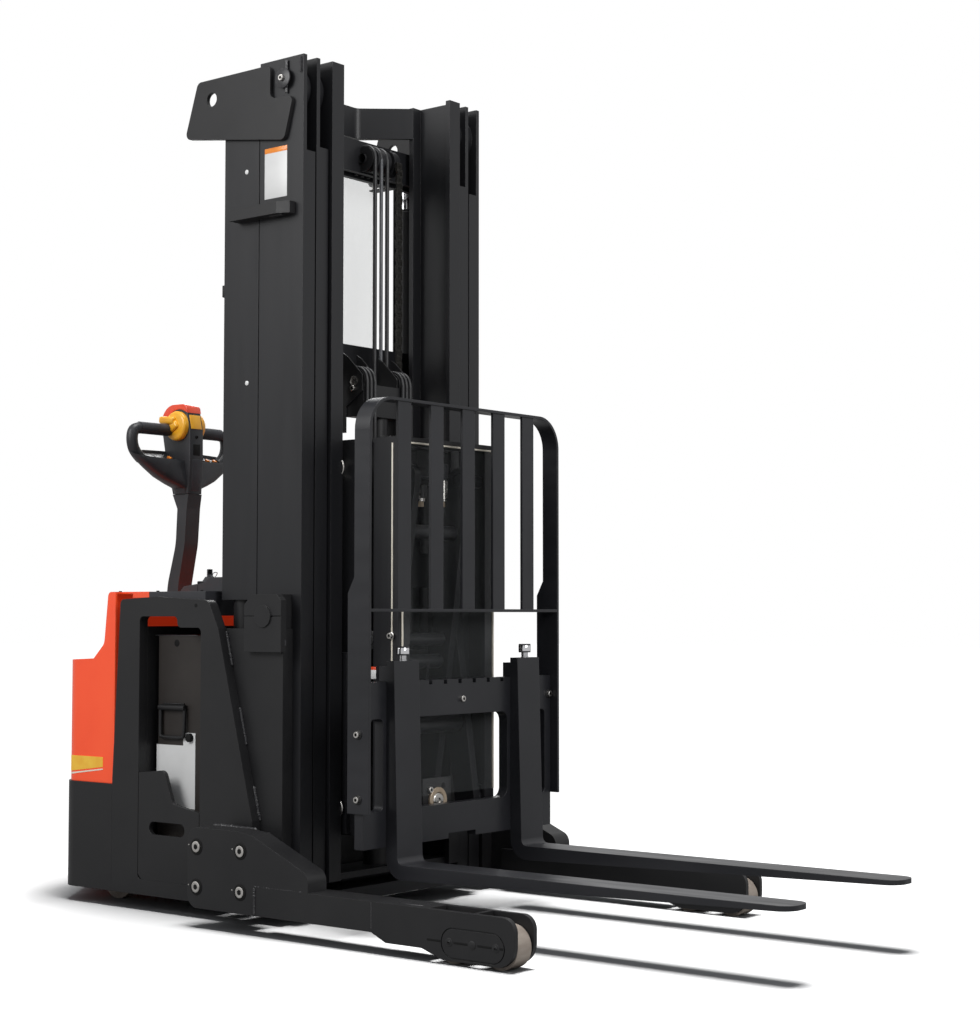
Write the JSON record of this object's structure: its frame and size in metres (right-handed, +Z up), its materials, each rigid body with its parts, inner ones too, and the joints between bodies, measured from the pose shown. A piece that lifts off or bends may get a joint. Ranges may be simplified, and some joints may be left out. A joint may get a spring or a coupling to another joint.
{
  "type": "walkie reach truck",
  "caption": "Walkie reach truck: straddle legs, triplex mast, pantograph reach carriage with forks and load backrest, steered by a tiller.",
  "frame": {"origin": "middle of the whole truck's footprint, on the floor", "axes": "+X towards the fork tips, +Y to the truck's left, +Z up"},
  "size_m": [2.526, 1.114, 2.339],
  "materials": {
    "steel_paint": "satin",
    "orange_paint": "gloss",
    "grey_plastic": "satin",
    "battery_case": "satin",
    "clear_sheet": "clear",
    "chain_steel": "oiled",
    "chrome_rod": "polished",
    "wheel_tyre": "matte",
    "red_button": "gloss",
    "yellow_plastic": "gloss",
    "handle_plastic": "matte"
  },
  "bodies": {
    "chassis": {"side_frame_left": "steel_paint", "side_frame_right": "steel_paint", "base_frame": "steel_paint", "mast_gussets": "steel_paint", "rear_skirt": "steel_paint", "hood": "orange_paint", "top_cover": "grey_plastic", "console": "grey_plastic", "emergency_button": "red_button", "battery": "battery_case", "battery_gates": "steel_paint", "outer_rails": "steel_paint", "outer_crossbeams": "steel_paint", "lifting_lugs": "steel_paint", "mast_covers": "steel_paint", "mast_guard": "clear_sheet", "rail_clamps": "steel_paint", "side_bars": "steel_paint", "lift_cylinders": "steel_paint", "outrigger_left": "steel_paint", "outrigger_right": "steel_paint", "bogies": "steel_paint"},
    "mast_middle": {"middle_rails": "steel_paint", "middle_crossbeams": "steel_paint", "lift_rods": "chrome_rod", "mast_chains": "chain_steel"},
    "mast_inner": {"inner_rails": "steel_paint", "inner_crossbeams": "steel_paint", "free_lift_cylinder": "steel_paint"},
    "free_crosshead": {"free_lift_crosshead": "steel_paint"},
    "carriage": {"lift_carriage": "steel_paint", "valve_block": "steel_paint"},
    "outer_arms": {"reach_arms_outer": "steel_paint"},
    "inner_arms": {"reach_arms_inner": "steel_paint"},
    "reach_barrel": {"reach_cylinder": "steel_paint"},
    "reach_rod": {"reach_rod": "chrome_rod"},
    "front_frame": {"reach_frame": "steel_paint", "clear_shield": "clear_sheet"},
    "fork_carriage": {"fork_plate": "steel_paint", "backrest": "steel_paint", "fork_left": "steel_paint", "fork_right": "steel_paint"},
    "drive_unit": {"drive_unit": "steel_paint"},
    "drive_wheel": {"drive_wheel": "wheel_tyre"},
    "tiller": {"tiller_arm": "handle_plastic", "tiller_head": "handle_plastic", "travel_knobs": "yellow_plastic"},
    "caster_left": {"caster_fork_left": "steel_paint"},
    "caster_wheel_left": {"caster_wheel_left": "wheel_tyre"},
    "load_wheel_front_left": {"load_wheel_front_left": "wheel_tyre"},
    "load_wheel_rear_left": {"load_wheel_rear_left": "wheel_tyre"},
    "caster_right": {"caster_fork_right": "steel_paint"},
    "caster_wheel_right": {"caster_wheel_right": "wheel_tyre"},
    "load_wheel_front_right": {"load_wheel_front_right": "wheel_tyre"},
    "load_wheel_rear_right": {"load_wheel_rear_right": "wheel_tyre"}
  },
  "joints": [
    {"name": "mast_lift", "type": "slide", "parent": "chassis", "child": "mast_middle", "axis": [0, 0, 1], "range_m": [0, 1.55]},
    {"name": "inner_stage", "type": "slide", "parent": "mast_middle", "child": "mast_inner", "axis": [0, 0, 1], "range_m": [0, 1.55], "deforming": ["mast_chains"]},
    {"name": "free_lift", "type": "slide", "parent": "mast_inner", "child": "carriage", "axis": [0, 0, 1], "range_m": [-0.085, 1.4]},
    {"name": "free_rod", "type": "slide", "parent": "mast_inner", "child": "free_crosshead", "axis": [0, 0, 1], "range_m": [-0.0425, 0.7]},
    {"name": "reach", "type": "hinge", "parent": "carriage", "child": "outer_arms", "pos_m": [-0.151, 0, 1.2], "axis": [0, -1, 0], "range_deg": [0, 42]},
    {"name": "arm_cross", "type": "hinge", "parent": "outer_arms", "child": "inner_arms", "pos_m": [-0.08837, 0, 0.75438], "axis": [0, 1, 0], "range_deg": [0, 84]},
    {"name": "front_pivot", "type": "hinge", "parent": "inner_arms", "child": "front_frame", "pos_m": [-0.02574, 0, 1.2], "axis": [0, -1, 0], "range_deg": [0, 42]},
    {"name": "reach_cylinder_pivot", "type": "hinge", "parent": "carriage", "child": "reach_barrel", "pos_m": [-0.171, 0, 0.3], "axis": [0, 1, 0], "range_deg": [0, 14.5]},
    {"name": "reach_rod_slide", "type": "slide", "parent": "reach_barrel", "child": "reach_rod", "axis": [0.1979, 0, 0.9802], "range_m": [0, 0.25979]},
    {"name": "tilt", "type": "hinge", "parent": "front_frame", "child": "fork_carriage", "pos_m": [0.004, 0, 0.6], "axis": [0, -1, 0], "range_deg": [-2, 4]},
    {"name": "steering", "type": "hinge", "parent": "chassis", "child": "drive_unit", "pos_m": [-1.053, 0, 0], "axis": [0, 0, 1], "range_deg": [-90, 90]},
    {"name": "drive_wheel_spin", "type": "hinge", "parent": "drive_unit", "child": "drive_wheel", "pos_m": [-1.053, 0, 0.115], "axis": [0, 1, 0], "continuous": true},
    {"name": "tiller_pitch", "type": "hinge", "parent": "drive_unit", "child": "tiller", "pos_m": [-1.053, 0, 0.722], "axis": [0, -1, 0], "range_deg": [0, 75]},
    {"name": "caster_swivel_left", "type": "hinge", "parent": "chassis", "child": "caster_left", "pos_m": [-0.918, 0.315, 0.2], "axis": [0, 0, 1], "continuous": true},
    {"name": "caster_spin_left", "type": "hinge", "parent": "caster_left", "child": "caster_wheel_left", "pos_m": [-0.946, 0.315, 0.0625], "axis": [0, 1, 0], "continuous": true},
    {"name": "load_spin_front_left", "type": "hinge", "parent": "chassis", "child": "load_wheel_front_left", "pos_m": [0.627, 0.514, 0.051], "axis": [0, 1, 0], "continuous": true},
    {"name": "load_spin_rear_left", "type": "hinge", "parent": "chassis", "child": "load_wheel_rear_left", "pos_m": [0.487, 0.514, 0.051], "axis": [0, 1, 0], "continuous": true},
    {"name": "caster_swivel_right", "type": "hinge", "parent": "chassis", "child": "caster_right", "pos_m": [-0.918, -0.315, 0.2], "axis": [0, 0, 1], "continuous": true},
    {"name": "caster_spin_right", "type": "hinge", "parent": "caster_right", "child": "caster_wheel_right", "pos_m": [-0.946, -0.315, 0.0625], "axis": [0, 1, 0], "continuous": true},
    {"name": "load_spin_front_right", "type": "hinge", "parent": "chassis", "child": "load_wheel_front_right", "pos_m": [0.627, -0.514, 0.051], "axis": [0, 1, 0], "continuous": true},
    {"name": "load_spin_rear_right", "type": "hinge", "parent": "chassis", "child": "load_wheel_rear_right", "pos_m": [0.487, -0.514, 0.051], "axis": [0, 1, 0], "continuous": true}
  ],
  "couplings": [
    {"joint": "inner_stage", "follows": "mast_lift", "ratio": 1},
    {"joint": "free_rod", "follows": "free_lift", "ratio": 0.5},
    {"joint": "arm_cross", "follows": "reach", "ratio": 2},
    {"joint": "front_pivot", "follows": "reach", "ratio": 1},
    {"joint": "reach_cylinder_pivot", "follows": "reach", "ratio": 0.34503},
    {"joint": "reach_rod_slide", "follows": "reach", "m_per_rad": 0.35438}
  ]
}
